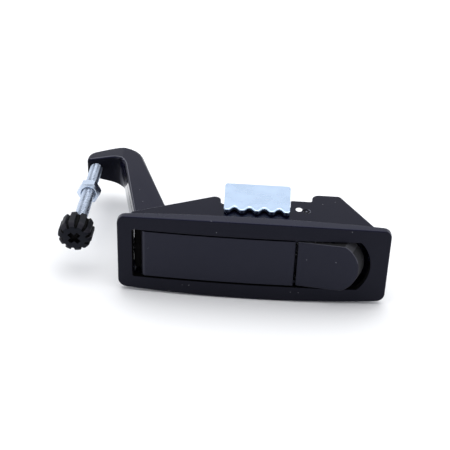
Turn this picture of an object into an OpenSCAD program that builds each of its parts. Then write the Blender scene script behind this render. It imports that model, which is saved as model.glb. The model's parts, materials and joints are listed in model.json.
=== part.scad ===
// Flush lever latch with a trigger release, a hooked clamping arm and two panel clamp brackets.
// Millimetres, +Z up. The panel lies in the plane y = 0, with the bezel in front of it at -Y and
// the mechanism behind it at +Y. The origin is the centre of the bezel's seat on the panel.
// The latch is shown closed, with its trigger standing out, just clear of the catch pin.

/* [Bezel] */
// Length of the bezel
bezel_length = 157; // [150:1:170]
// Height of the bezel at its ends
bezel_end_height = 48.6; // [46:0.2:56]
// Extra half height at the middle of the bowed long sides
bezel_bow = 2.1; // [0.5:0.1:4]
// Thickness of the bezel at its ends
bezel_end_thickness = 3.8; // [3.4:0.1:5]
// Extra thickness at the middle of the crowned face
bezel_crown = 3; // [1.5:0.1:3.6]
// Corner radius of the bezel
bezel_corner = 5; // [2:0.5:7]
// Width of the frame left of the opening
left_border = 8.7; // [7:0.1:12]
// Width of the frame right of the opening
right_border = 10.5; // [9.6:0.1:14]
// Height of the opening
opening_height = 32.6; // [32:0.1:34]
// Radius of the opening's round right end
opening_end_radius = 24; // [20:0.5:40]
// Radius of the opening's small corners
opening_corner = 1.2; // [0.5:0.1:2]
// Depth of the recess in the back that the housing stands in
seat_recess = 0.6; // [0.4:0.1:1]

/* [Housing] */
// Thickness of the side plates and the end plate
plate_thickness = 2; // [1.5:0.1:2.5]
// Step from the opening's edge out to the side plates
plate_step = 0.1; // [0.05:0.05:0.3]
// Step from the opening's edge out to the left wall
left_step = 0.3; // [0.2:0.05:0.6]
// Depth of the left wall
left_wall_depth = 8.2; // [6:0.1:10]
// Depth of the side plates at their left end
plate_left_depth = 11.4; // [10:0.2:14]
// Depth of the side plates' left peak, before it is rounded
plate_peak_depth = 35.8; // [34:0.2:40]
// Depth of the side plates at the notch under the bracket
notch_depth = 25.9; // [25:0.1:26.5]
// Depth of the side plates beside the notch
shelf_depth = 33.8; // [32:0.1:36]
// Depth of the side plates at the right hump
hump_depth = 41.8; // [40:0.1:46]
// Length of the flat top of the right hump
hump_length = 16.8; // [12:0.2:17]
// Corner radius of the right hump
hump_corner = 4.5; // [3:0.1:6]
// Depth of the side plates at their right end
plate_right_depth = 8.7; // [7:0.1:12]
// Diameter of the spare hole in each side plate
spare_hole_d = 4; // [3:0.1:4.4]

/* [Lever] */
// Slot between the opening and the paddle's rolled end
paddle_slot = 4.9; // [4.6:0.1:6]
// Gap above and below the paddle and the trigger
side_gap = 1; // [0.8:0.1:1.3]
// How far the paddle and the trigger lie below the bezel's face
face_recess = 0.4; // [0.2:0.1:0.8]
// Thickness of the paddle's skin and flanges
paddle_thickness = 2; // [1.5:0.1:2.2]
// Outer radius of the paddle's rolled end
paddle_roll = 3.3; // [2.8:0.1:4]
// Length of the straight lip behind the rolled end
paddle_lip = 1.2; // [0.8:0.1:1.6]
// Distance of the main pivot from the paddle's rolled end
pivot_inset = 8.9; // [8.5:0.1:10]
// Depth of the main pivot behind the panel's plane
pivot_depth = 6.5; // [6:0.1:6.8]
// Diameter of the main pivot pin
main_pin_d = 6; // [5:0.5:7]
// Diameter of the cross pin that locks the arm to the paddle
cross_pin_d = 5; // [4:0.5:5]
// Distance of the cross pin from the main pivot, along the panel
cross_pin_offset = 18; // [16:0.5:20]
// Distance of the cross pin in front of the main pivot
cross_pin_front = 5; // [4.5:0.1:5.2]
// Diameter of the washers and shims on the main pivot
washer_d = 13; // [10:0.5:13]
// Thickness of the shims between the arm and the paddle
shim_thickness = 0.5; // [0.3:0.1:1]

/* [Trigger] */
// Length of the trigger
trigger_length = 35.6; // [34:0.1:38]
// Finger gap between the trigger's round end and the opening
finger_gap = 6; // [5.5:0.1:8]
// Gap between the pushed-in trigger and the paddle
trigger_gap = 2.2; // [2.1:0.1:3]
// Radius of the trigger's round end
trigger_end_radius = 17.8; // [16.5:0.1:24]
// Thickness of the trigger's skin
trigger_skin = 1.5; // [1.2:0.1:1.8]
// How far the trigger stands out from flush, in degrees
trigger_tilt = 8; // [7:0.5:9]
// Depth of the trigger's skirt
trigger_skirt = 9; // [7:0.1:10]
// Distance of the trigger pin from the trigger's left edge
trigger_pin_inset = 1.6; // [1.4:0.1:1.8]
// Distance of the trigger pin in front of the panel's plane
trigger_pin_front = 1; // [0.8:0.1:1.2]
// Diameter of the trigger pin
trigger_pin_d = 3; // [2.5:0.1:3.2]
// Diameter of the catch pin
catch_pin_d = 4.4; // [4:0.1:5]
// Distance of the catch pin from the trigger pin, along the panel
catch_offset = 2.15; // [2:0.05:2.3]
// Depth of the catch pin behind the panel's plane
catch_depth = 22.6; // [22:0.1:23]
// Thickness of the hook's nose
hook_nose = 4; // [3:0.1:5]
// Width of the hook's shank
hook_shank = 5; // [4.6:0.1:5.6]
// Distance of the hook rivet from the trigger pin, along the panel
rivet_offset = 17.5; // [17:0.1:18]
// Length of the ribs that hold the hook
rib_length = 8; // [7:0.1:9]
// Diameter of the spring wire
spring_wire = 0.9; // [0.6:0.1:1]

/* [Arm] */
// Reach of the arm from the main pivot to its outer bend, before it is rounded
arm_reach = 100.4; // [92:0.1:104]
// Height of the arm along Z
arm_height = 20.6; // [18:0.1:20.6]
// Height of the arm at the tip of its finger
finger_tip_height = 11.4; // [11:0.1:14]
// Distance from the main pivot to where the taper of the finger starts
arm_taper = 33; // [31:0.5:35]
// Radius where the taper of the finger starts
arm_taper_radius = 8; // [6:0.5:9]
// Radius of the outer bend between shank and finger
arm_bend_radius = 19; // [16:0.5:22]
// Radius of the throat between shank and finger
arm_throat_radius = 10.5; // [8:0.5:11]
// Depth of the arm's foot behind the main pivot
arm_foot = 4.5; // [4.2:0.1:4.8]
// Radius between the shank and the foot of the arm
arm_foot_radius = 8; // [6:0.5:9]
// Thickness of the arm's finger at its tip
finger_thickness = 11.8; // [10:0.1:13]
// How far the back of the finger falls towards its tip
finger_drop = 6.2; // [4:0.1:8]
// Distance from the main pivot to the bolt's axis, along the panel
bolt_offset = 49.8; // [45:0.2:54]
// Reach of the finger past the bolt's axis
finger_overhang = 6.1; // [5.8:0.1:8]

/* [Bolt] */
// Diameter of the adjusting bolt
bolt_d = 8; // [6:0.5:8]
// Depth of the bolt's blunt end behind the finger's tip
bolt_tail = 4.5; // [3.5:0.5:6]
// Width across the flats of the jam nut
nut_flats = 13; // [12.5:0.1:14]
// Thickness of the jam nut
nut_thickness = 6.5; // [5:0.1:8]
// Distance of the jam nut from the arm's finger
nut_from_finger = 24; // [20:0.1:30]
// Diameter of the bumper knob over its lobes
knob_d = 20.4; // [18:0.1:20.4]
// Length of the bumper knob with its crowned face
knob_length = 13.8; // [11:0.1:15]
// Height of the knob's crowned face
knob_crown = 2.4; // [1:0.1:3]
// Depth of the knob's face behind the panel's plane
knob_depth = 7.2; // [4:0.1:10]
// How far the knob is turned, in degrees
knob_turned = 8.5; // [0:0.5:36]
// Number of lobes round the knob
knob_lobes = 10; // [8:1:12]

/* [Clamp] */
// Width of each clamp bracket
bracket_width = 38.5; // [36:0.1:38.6]
// Place of the brackets along the bezel
bracket_x = 1; // [0:0.1:1.1]
// Depth of the brackets' teeth behind the panel's plane
teeth_depth = 14.6; // [13.4:0.1:16]
// Length of each bracket along Y
bracket_length = 30.9; // [28:0.1:32]
// Thickness of the brackets
bracket_thickness = 3; // [2:0.1:3.4]
// Outer radius of the brackets' bend
bracket_bend = 1.2; // [0.8:0.1:3]
// Distance between the brackets' teeth
tooth_pitch = 8.72; // [8.4:0.02:9]
// Depth of the waves between the teeth
tooth_height = 3.3; // [1.5:0.1:4]
// Diameter of the clamp screws
screw_d = 4; // [3:0.1:4]
// Length of the clamp screws below their heads
screw_length = 25; // [24:0.5:27]
// Diameter of the clamp screws' heads
screw_head_d = 6.8; // [6:0.1:6.8]
// Height of the clamp screws' heads
screw_head_h = 4; // [3:0.1:4.5]

/* [Fits] */
// Radial clearance of turning pins and threads
running_fit = 0.05; // [0.03:0.01:0.09]
// Radial clearance of pins that stay put
seat_fit = 0.02; // [0.01:0.01:0.04]
// Face clearance between pieces that slide past each other
face_fit = 0.15; // [0.1:0.05:0.25]
// Gap between pieces that swing past each other
swing_gap = 0.5; // [0.4:0.05:0.6]

/* [Hidden] */
$fn = 64;

// Finishes
coat = "#26262b";
zinc = "#c9d3e2";
steel = "#8b8d92";
moulded = "#1d1d20";

// Smooth stretches and corners of the outlines
curve_steps = 24;
corner_steps = 6;
// Overlap that lets a cut run clean through a face
cut = 1;

// Bezel and opening, seen from the front
half_length = bezel_length / 2;
opening_left = left_border - half_length;
opening_right = half_length - right_border;
opening_half = opening_height / 2;
opening_end_x = opening_right - opening_end_radius;
bezel_middle_thickness = bezel_end_thickness + bezel_crown;
bezel_middle_half = bezel_end_height / 2 + bezel_bow;

// Layers of the housing along Z, from the outside in
plate_inner = opening_half + plate_step;
plate_outer = plate_inner + plate_thickness;
paddle_half = opening_half - side_gap;
flange_inner = paddle_half - paddle_thickness;
hub_half = flange_inner - shim_thickness - 2 * face_fit;
arm_half = arm_height / 2;
screw_z = arm_half + swing_gap + screw_head_d / 2;

// Lever layout along X
paddle_left = opening_left + paddle_slot;
trigger_end = opening_right - finger_gap;
trigger_left = trigger_end - trigger_length;
paddle_right = trigger_left - trigger_gap;
pivot = [paddle_left + pivot_inset, pivot_depth];
lock = pivot + [cross_pin_offset, -cross_pin_front];
roll_x = paddle_left + paddle_roll;
lip_end = lever_face(roll_x) + paddle_roll + paddle_lip;
trigger_pivot = [trigger_left + trigger_pin_inset, -trigger_pin_front];
trigger_ear = 3;
trigger_back = lever_face(trigger_end) + trigger_skirt;
tie_front = trigger_pivot.y + trigger_ear + 1.4 * swing_gap;
tie_back = tie_front + paddle_thickness;

// Catch pin and what lines up with it
catch = [trigger_pivot.x + catch_offset, catch_depth];
spare_hole = catch + [-4.4, 1.8];
hook_half = 4;
hook_rib = 2;
rivet = [trigger_pivot.x + rivet_offset, trigger_pivot.y + 0.3];
rivet_d = trigger_pin_d;

// Side plate, seen from above
plate_left = opening_left - left_step - plate_thickness;
plate_right = opening_right + plate_thickness;
hub_radius = pivot.x - plate_left - plate_thickness - swing_gap;
notch_left = bracket_x - bracket_width / 2 - 2.2;
notch_right = bracket_x + bracket_width / 2 + swing_gap;
hump_left = catch.x + catch_pin_d / 2 + 2 * swing_gap;
hump_right = hump_left + hump_length;

// Bolt line
bolt_x = pivot.x - bolt_offset;
arm_tip = bolt_x - finger_overhang;
finger_back = pivot.y + arm_reach;
tip_back = finger_back - finger_drop;
finger_front = tip_back - finger_thickness;
bolt_end = tip_back + bolt_tail;
nut_back = finger_front - nut_from_finger;
nut_front = nut_back - nut_thickness;
knob_back = knob_depth + knob_length;
bolt_seat = knob_depth + knob_crown + 2.5;

// Clamp brackets and screws
bracket_inner = plate_outer + 2 * face_fit;
bracket_outer = bracket_inner + bracket_thickness;
bracket_back = teeth_depth + bracket_length;
lug_inner = arm_half + swing_gap;
lug_length = 4;
lug_width = 12;

// Half height of the bowed bezel at x
function bow_half(x) = bezel_middle_half - bezel_bow * pow(x / half_length, 2);

// Face of the crowned bezel at x
function crown_face(x) = bezel_crown * pow(x / half_length, 2) - bezel_middle_thickness;

// Places from a to b in equal steps
function spread(a, b, steps) = [for (i = [0:steps]) a + (b - a) * i / steps];

function unit(v) = v / norm(v);

function short_turn(a) = a > 180 ? a - 360 : a < -180 ? a + 360 : a;

// Arc round a centre, from one angle to another
function arc(centre, r, from, to, steps) =
    [for (a = spread(from, to, steps)) centre + r * [cos(a), sin(a)]];

// The arc that rounds the corner b, between its neighbours a and c
function round_corner(a, b, c, r) =
    r == 0 ? [b] :
    let (
        u = unit(a - b),
        w = unit(c - b),
        half = acos(u * w) / 2,
        centre = b + unit(u + w) * r / sin(half),
        start = b + u * r / tan(half) - centre,
        end = b + w * r / tan(half) - centre,
        from = atan2(start.y, start.x),
        turn = short_turn(atan2(end.y, end.x) - from)
    )
    arc(centre, r, from, from + turn, corner_steps);

function flat(corner) = [corner.x, corner.y];

// An outline from corners given as [x, y, radius]
function soften(corners) =
    let (n = len(corners))
    [for (i = [0:n - 1])
        each round_corner(
            flat(corners[(i + n - 1) % n]), flat(corners[i]), flat(corners[(i + 1) % n]), corners[i][2]
        )
    ];

// An X-Z outline that runs from y0 to y1
module along_y(y0, y1) {
    translate([0, y1, 0]) rotate([90, 0, 0]) linear_extrude(y1 - y0) children();
}

// An X-Y outline that runs from z0 to z1
module along_z(z0, z1) {
    translate([0, 0, z0]) linear_extrude(z1 - z0) children();
}

// A Y-Z outline that runs from x0 to x1
module along_x(x0, x1) {
    translate([x0, 0, 0]) rotate([90, 0, 90]) linear_extrude(x1 - x0) children();
}

module both_sides() {
    children();
    mirror([0, 0, 1]) children();
}

// A round bar along Z
module bar_z(at, d, z0, z1) {
    translate([at.x, at.y, z0]) cylinder(d = d, h = z1 - z0);
}

// A round bar along Y
module bar_y(x, z, d, y0, y1) {
    translate([x, y1, z]) rotate([90, 0, 0]) cylinder(d = d, h = y1 - y0);
}

// The trigger and its hook are drawn pushed in and then tilted out to where they stand
module tilt_trigger() {
    translate([trigger_pivot.x, trigger_pivot.y, 0])
        rotate([0, 0, -trigger_tilt])
            translate([-trigger_pivot.x, -trigger_pivot.y, 0]) children();
}

module bezel_outline() {
    bow = spread(-0.88 * half_length, 0.88 * half_length, curve_steps);
    corner_half = bezel_end_height / 2;
    polygon(soften(concat(
        [[-half_length, -corner_half, bezel_corner]],
        [for (x = bow) [x, -bow_half(x), 0]],
        [[half_length, -corner_half, bezel_corner], [half_length, corner_half, bezel_corner]],
        [for (x = bow) [-x, bow_half(x), 0]],
        [[-half_length, corner_half, bezel_corner]]
    )));
}

module opening_outline() {
    end_angle = asin(opening_half / opening_end_radius);
    end_x = opening_end_x + opening_end_radius * cos(end_angle);
    sweep = 0.85 * end_angle;
    end_arc = arc([opening_end_x, 0], opening_end_radius, -sweep, sweep, curve_steps);
    polygon(soften(concat(
        [[opening_left, -opening_half, opening_corner], [end_x, -opening_half, opening_corner]],
        [for (p = end_arc) [p.x, p.y, 0]],
        [[end_x, opening_half, opening_corner], [opening_left, opening_half, opening_corner]]
    )));
}

// Crowned frame that sits on the panel
module bezel() {
    reach = half_length + cut;
    color(coat) difference() {
        intersection() {
            along_y(-bezel_middle_thickness - cut, 0) bezel_outline();
            along_z(-bezel_middle_half - cut, bezel_middle_half + cut) polygon(concat(
                [[-reach, 0]],
                [for (x = spread(-reach, reach, curve_steps)) [x, crown_face(x)]],
                [[reach, 0]]
            ));
        }
        along_y(-bezel_middle_thickness - cut, cut) opening_outline();
        translate([plate_left - face_fit, -seat_recess, -plate_outer - face_fit])
            cube([plate_right - plate_left + 2 * face_fit, seat_recess + cut, 2 * (plate_outer + face_fit)]);
    }
}

module plate_outline() {
    polygon(soften([
        [plate_left, -seat_recess, 0],
        [plate_left, plate_left_depth, 2],
        [notch_left - 0.8, plate_peak_depth, 3.5],
        [notch_left, notch_depth, 2],
        [notch_right, notch_depth, 1],
        [notch_right, shelf_depth, 1],
        [hump_left, shelf_depth, 1],
        [hump_left + 0.4, hump_depth, hump_corner],
        [hump_right, hump_depth, 3],
        [plate_right, plate_right_depth, 2],
        [plate_right, -seat_recess, 0]
    ]));
}

// Side plate of the housing, with holes for the pins that cross it
module upper_side_plate() {
    color(coat) difference() {
        along_z(plate_inner, plate_outer) plate_outline();
        bar_z(pivot, main_pin_d + 2 * seat_fit, plate_inner - cut, plate_outer + cut);
        bar_z(catch, catch_pin_d + 2 * seat_fit, plate_inner - cut, plate_outer + cut);
        bar_z(spare_hole, spare_hole_d, plate_inner - cut, plate_outer + cut);
    }
}

module lower_side_plate() {
    mirror([0, 0, 1]) upper_side_plate();
}

// Short wall between the side plates at the left end of the opening
module left_wall() {
    color(coat) along_z(-plate_inner, plate_inner)
        translate([plate_left, -seat_recess]) square([plate_thickness, left_wall_depth + seat_recess]);
}

// Bent plate between the side plates that closes the housing behind the finger gap
module end_plate() {
    run = [hump_right - plate_right, hump_depth - plate_right_depth];
    inner_knee = [plate_right, plate_right_depth] + unit([-run.y, run.x]) * plate_thickness;
    inner_back = hump_depth - plate_thickness;
    lip = hump_left + hump_corner + 1;
    color(coat) along_z(-plate_inner, plate_inner) polygon(soften([
        [plate_right, -seat_recess, 0],
        [plate_right, plate_right_depth, 2],
        [hump_right, hump_depth, 3],
        [lip, hump_depth, 0],
        [lip, inner_back, 0],
        [inner_knee.x + run.x * (inner_back - inner_knee.y) / run.y, inner_back, 1],
        [plate_right - plate_thickness, inner_knee.y, 0],
        [plate_right - plate_thickness, -seat_recess, 0]
    ]));
}

// Threaded block inside a side plate that takes a clamp screw
module upper_threaded_lug() {
    lug_front = notch_depth - lug_length;
    color(coat) difference() {
        translate([bracket_x - lug_width / 2, lug_front, lug_inner])
            cube([lug_width, lug_length, plate_inner - lug_inner]);
        bar_y(bracket_x, screw_z, screw_d + 2 * running_fit, lug_front - cut, notch_depth + cut);
    }
}

module lower_threaded_lug() {
    mirror([0, 0, 1]) upper_threaded_lug();
}

// Pin that the lever swings on
module main_pivot_pin() {
    color(coat) bar_z(pivot, main_pin_d, -plate_outer, plate_outer);
}

// Pin that the trigger's hook takes hold of
module catch_pin() {
    color(coat) bar_z(catch, catch_pin_d, -plate_outer, plate_outer);
}

// Face of the paddle and the trigger at x
function lever_face(x) = crown_face(x) + face_recess;

// Section of the paddle's crowned skin with its rolled left end
module paddle_section() {
    roll = [roll_x, lever_face(roll_x) + paddle_roll];
    inner_roll = paddle_roll - paddle_thickness;
    face = spread(roll_x, paddle_right, curve_steps);
    polygon(concat(
        [[paddle_left + paddle_thickness, lip_end], [paddle_left, lip_end]],
        arc(roll, paddle_roll, 180, 270, corner_steps),
        [for (x = face) [x, lever_face(x)]],
        [for (i = [curve_steps:-1:0]) [face[i], lever_face(face[i]) + paddle_thickness]],
        arc(roll, inner_roll, 270, 180, corner_steps)
    ));
}

// Side of the paddle's flange, from the main pivot to the ear that holds the trigger pin
module flange_outline() {
    lobe = 7.5;
    top = lever_face(roll_x) + paddle_thickness / 2;
    ear_front = trigger_pivot.y - trigger_ear + 1.4 * swing_gap;
    polygon(soften([
        [pivot.x - lobe, top, 0],
        [pivot.x - lobe, pivot.y + lobe, lobe - 0.5],
        [pivot.x + lobe, pivot.y + lobe, lobe - 0.5],
        [lock.x + 4, lock.y + cross_pin_d / 2 + 2, 6],
        [trigger_pivot.x - 6, tie_back, 4],
        [trigger_pivot.x + trigger_ear, tie_back, trigger_ear - 0.1],
        [trigger_pivot.x + trigger_ear, ear_front, trigger_ear - 1.4 * swing_gap - 0.1],
        [paddle_right - 1, ear_front, 0],
        [paddle_right - 1, lever_face(paddle_right) + paddle_thickness / 2, 0],
        [0, lever_face(0) + paddle_thickness / 2, 0]
    ]));
}

// Long flush plate with folded flanges, tied together behind the trigger pin
module lever_paddle() {
    tie_right = trigger_pivot.x - trigger_ear / 2;
    color(coat) difference() {
        union() {
            along_z(-paddle_half, paddle_half) paddle_section();
            both_sides() along_z(flange_inner, paddle_half) flange_outline();
            along_z(-flange_inner - cut, flange_inner + cut)
                translate([tie_right - 5, tie_front]) square([5, paddle_thickness]);
        }
        bar_z(pivot, main_pin_d + 2 * running_fit, -plate_inner, plate_inner);
        bar_z(lock, cross_pin_d + 2 * seat_fit, -plate_inner, plate_inner);
        bar_z(trigger_pivot, trigger_pin_d + 2 * seat_fit, -plate_inner, plate_inner);
    }
}

// Hook of the arm, seen from above
module arm_outline() {
    shank_lean = -0.355;
    inner_lean = -0.243;
    heel = pivot + [1.9, 26.2];
    throat = pivot + [-23.6, 48.4];
    front = lever_face(roll_x) + paddle_thickness + swing_gap;
    root = lock.x + cross_pin_d / 2 + arm_foot;
    foot = pivot.y + arm_foot;
    polygon(soften([
        [root, front, 1.5],
        [root, lock.y + cross_pin_d / 2 + 2, 3],
        [heel.x + shank_lean * (foot - heel.y), foot, arm_foot_radius],
        [heel.x + shank_lean * (finger_back - heel.y), finger_back, arm_bend_radius],
        [arm_tip, tip_back, 6],
        [arm_tip, finger_front, 4],
        [throat.x + inner_lean * (finger_front - throat.y), finger_front, arm_throat_radius],
        [throat.x + inner_lean * (pivot.y + 3 - throat.y), pivot.y + 3, 6],
        [pivot.x - 5.3, front, 4]
    ]));
}

// Hub of the arm, round where it turns inside the left wall and flat under the paddle
module hub_outline() {
    intersection() {
        translate(pivot) circle(r = hub_radius);
        translate([pivot.x - hub_radius - cut, lip_end + swing_gap])
            square([1.5 * hub_radius, 2 * hub_radius]);
    }
}

// Hooked arm that carries the bolt, tapered towards the tip of its finger
module arm() {
    taper_x = pivot.x - arm_taper;
    far = lock.x + 3 * cross_pin_d;
    color(coat) difference() {
        union() {
            along_z(-hub_half, hub_half) hub_outline();
            intersection() {
                along_z(-arm_half, arm_half) arm_outline();
                along_y(pivot.y - 2 * arm_half, finger_back + cut) polygon(soften([
                    [arm_tip - cut, -finger_tip_height / 2, 0],
                    [taper_x, -arm_half, arm_taper_radius],
                    [far, -arm_half, 0],
                    [far, arm_half, 0],
                    [taper_x, arm_half, arm_taper_radius],
                    [arm_tip - cut, finger_tip_height / 2, 0]
                ]));
            }
        }
        bar_z(pivot, main_pin_d + 2 * running_fit, -hub_half - cut, hub_half + cut);
        bar_z(lock, cross_pin_d + 2 * seat_fit, -arm_half - cut, arm_half + cut);
        bar_y(bolt_x, 0, bolt_d + 2 * running_fit, finger_front - cut, finger_back + cut);
    }
}

// Pin that locks the arm to the paddle
module cross_pin() {
    color(steel) bar_z(lock, cross_pin_d, -paddle_half, paddle_half);
}

// Shims on the main pivot that centre the arm between the paddle's flanges
module arm_shims() {
    color(steel) both_sides() difference() {
        bar_z(pivot, washer_d, hub_half + face_fit, flange_inner - face_fit);
        bar_z(pivot, main_pin_d + 2 * running_fit, hub_half - cut, flange_inner + cut);
    }
}

// Thin washers on the main pivot between the paddle and the side plates
module pivot_washers() {
    color(steel) both_sides() difference() {
        bar_z(pivot, washer_d, paddle_half + face_fit, plate_inner - face_fit);
        bar_z(pivot, main_pin_d + 2 * running_fit, paddle_half - cut, plate_inner + cut);
    }
}

// Pin that the trigger turns on
module trigger_pin() {
    color(steel) bar_z(trigger_pivot, trigger_pin_d, -paddle_half, paddle_half);
}

// Front of the trigger, drawn smaller by inset on every side
module trigger_outline(inset) {
    half = paddle_half - inset;
    r = trigger_end_radius - inset;
    centre = trigger_end - trigger_end_radius;
    end_angle = asin(half / r);
    end_arc = arc([centre, 0], r, -0.85 * end_angle, 0.85 * end_angle, curve_steps);
    end_x = centre + r * cos(end_angle);
    polygon(soften(concat(
        [[trigger_left, -half, 0.8], [end_x, -half, 1.5]],
        [for (p = end_arc) [p.x, p.y, 0]],
        [[end_x, half, 1.5], [trigger_left, half, 0.8]]
    )));
}

// Section of a layer of the trigger that starts below its crowned face
module trigger_section(depth) {
    polygon(concat(
        [[trigger_left - cut, trigger_back]],
        [for (x = spread(trigger_left - cut, trigger_end + cut, curve_steps))
            [x, lever_face(x) + depth]],
        [[trigger_end + cut, trigger_back]]
    ));
}

// Trigger cap with a skirt, two ears on the trigger pin and two ribs for the hook
module trigger() {
    skirt_x = trigger_pivot.x + 2.6 * trigger_ear;
    ear_outer = flange_inner - swing_gap;
    ear_inner = ear_outer - 3;
    ear_back = trigger_pivot.y + trigger_ear;
    color(coat) tilt_trigger() difference() {
        union() {
            difference() {
                intersection() {
                    along_y(-bezel_middle_thickness - cut, trigger_back) trigger_outline(0);
                    along_z(-paddle_half, paddle_half) trigger_section(0);
                }
                intersection() {
                    along_y(-bezel_middle_thickness - cut, trigger_back + cut) trigger_outline(trigger_skin);
                    along_z(-paddle_half, paddle_half) trigger_section(trigger_skin);
                }
                intersection() {
                    along_y(-bezel_middle_thickness, trigger_back + cut)
                        translate([trigger_left - cut, -paddle_half - cut])
                            square([skirt_x - trigger_left + cut, 2 * (paddle_half + cut)]);
                    along_z(-paddle_half - cut, paddle_half + cut) trigger_section(trigger_skin);
                }
            }
            both_sides() intersection() {
                along_z(ear_inner, ear_outer) polygon(soften([
                    [trigger_pivot.x - trigger_ear, ear_back, trigger_ear - 0.1],
                    [trigger_pivot.x - trigger_ear, trigger_pivot.y, 0],
                    [trigger_left, trigger_pivot.y - 2 * trigger_ear, 0],
                    [skirt_x, trigger_pivot.y - 2 * trigger_ear, 0],
                    [skirt_x, ear_back, 3]
                ]));
                along_z(ear_inner, ear_outer) trigger_section(trigger_skin / 2);
            }
            both_sides() intersection() {
                along_z(hook_half + face_fit, hook_half + face_fit + hook_rib) polygon(soften([
                    [rivet.x - rib_length / 2, ear_back, 2],
                    [rivet.x - rib_length / 2, trigger_pivot.y - 2 * trigger_ear, 0],
                    [rivet.x + rib_length / 2, trigger_pivot.y - 2 * trigger_ear, 0],
                    [rivet.x + rib_length / 2, ear_back, 2]
                ]));
                along_z(hook_half, hook_half + 2 * hook_rib) trigger_section(trigger_skin / 2);
            }
        }
        bar_z(trigger_pivot, trigger_pin_d + 2 * running_fit, -paddle_half, paddle_half);
        bar_z(rivet, rivet_d + 2 * seat_fit, -paddle_half, paddle_half);
    }
}

// Steel hook that holds on to the catch pin when the trigger is pushed in
module catch_hook() {
    shank_left = catch.x + catch_pin_d / 2 + swing_gap;
    nose_front = catch.y + catch_pin_d / 2 + swing_gap;
    nose_back = nose_front + hook_nose;
    front = lever_face(rivet.x - rib_length / 2) + trigger_skin + face_fit;
    toe = rivet.x + rivet_d;
    foot = trigger_pivot.y + trigger_ear;
    color(steel) tilt_trigger() difference() {
        along_z(-hook_half, hook_half) polygon(soften([
            [trigger_pivot.x - trigger_ear, trigger_pivot.y - trigger_ear, trigger_ear - 0.2],
            [trigger_pivot.x + trigger_ear, front + 0.7, 2],
            [toe, front + 0.7, 2],
            [toe, foot, 2],
            [shank_left + hook_shank, foot, 2],
            [shank_left + hook_shank - 0.4, nose_back, 3],
            [catch.x - 0.6, nose_back, 1.8],
            [catch.x - 0.6, nose_front, 0.6],
            [shank_left, nose_front, 0.8],
            [shank_left, foot + 2, 3],
            [trigger_pivot.x - trigger_ear, foot, trigger_ear - 0.2]
        ]));
        bar_z(trigger_pivot, trigger_pin_d + 2 * running_fit, -hook_half - cut, hook_half + cut);
        bar_z(rivet, rivet_d + 2 * seat_fit, -hook_half - cut, hook_half + cut);
    }
}

// Rivet that fastens the hook to the trigger's ribs
module hook_rivet() {
    rivet_half = hook_half + face_fit + hook_rib;
    color(steel) tilt_trigger() bar_z(rivet, rivet_d, -rivet_half, rivet_half);
}

// Ring of points round a wire, square to the direction it runs in
function wire_ring(at, run, side, r) =
    let (other = cross(run, side))
    [for (k = [0:5]) at + r * (cos(60 * k) * side + sin(60 * k) * other)];

// Torsion spring on the trigger pin, with one leg under the trigger and one under the paddle
module trigger_spring() {
    coil_r = trigger_pin_d / 2 + 0.4 + spring_wire / 2;
    turns = 3.5;
    steps = 16;
    low = hook_half + face_fit + spring_wire;
    rise = spring_wire * 1.12;
    leg = 11;
    coil = [for (i = [0:turns * steps])
        let (a = -90 + 360 * i / steps)
        [trigger_pivot.x + coil_r * cos(a), trigger_pivot.y + coil_r * sin(a), low + rise * i / steps]];
    route = concat([coil[0] + [-leg, 0.6, 0]], coil, [coil[len(coil) - 1] + [-leg, -1, 0]]);
    last = len(route) - 1;
    rings = [for (i = [0:last])
        let (run = unit(route[min(i + 1, last)] - route[max(i - 1, 0)]))
        wire_ring(route[i], run, unit(cross(run, [0, 0, 1])), spring_wire / 2)];
    color(steel) polyhedron(
        [for (ring = rings) each ring],
        concat(
            [[for (k = [0:5]) k]],
            [for (i = [0:last - 1], k = [0:5])
                [6 * i + k, 6 * i + 6 + k, 6 * i + 6 + (k + 1) % 6, 6 * i + (k + 1) % 6]],
            [[for (k = [5:-1:0]) 6 * last + k]]
        )
    );
}

// Bolt through the arm's finger, with its knob end blunt
module adjusting_bolt() {
    chamfer = 0.8;
    color(zinc) translate([bolt_x, bolt_seat, 0]) rotate([-90, 0, 0]) rotate_extrude() polygon([
        [0, 0],
        [bolt_d / 2 - chamfer, 0],
        [bolt_d / 2, chamfer],
        [bolt_d / 2, bolt_end - bolt_seat - chamfer],
        [bolt_d / 2 - chamfer, bolt_end - bolt_seat],
        [0, bolt_end - bolt_seat]
    ]);
}

// Hexagon nut with chamfered faces, one flat up
module jam_nut() {
    corner_r = nut_flats / 2 / cos(30);
    chamfer = 0.35;
    face_r = nut_flats / 2;
    color(zinc) translate([bolt_x, nut_front, 0]) rotate([-90, 0, 0]) difference() {
        intersection() {
            cylinder(r = corner_r, h = nut_thickness, $fn = 6);
            rotate_extrude() polygon([
                [0, 0],
                [face_r, 0],
                [corner_r + 0.1, chamfer * 2.4],
                [corner_r + 0.1, nut_thickness - chamfer * 2.4],
                [face_r, nut_thickness],
                [0, nut_thickness]
            ]);
        }
        translate([0, 0, -cut]) cylinder(d = bolt_d + 2 * running_fit, h = nut_thickness + 2 * cut);
    }
}

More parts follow.
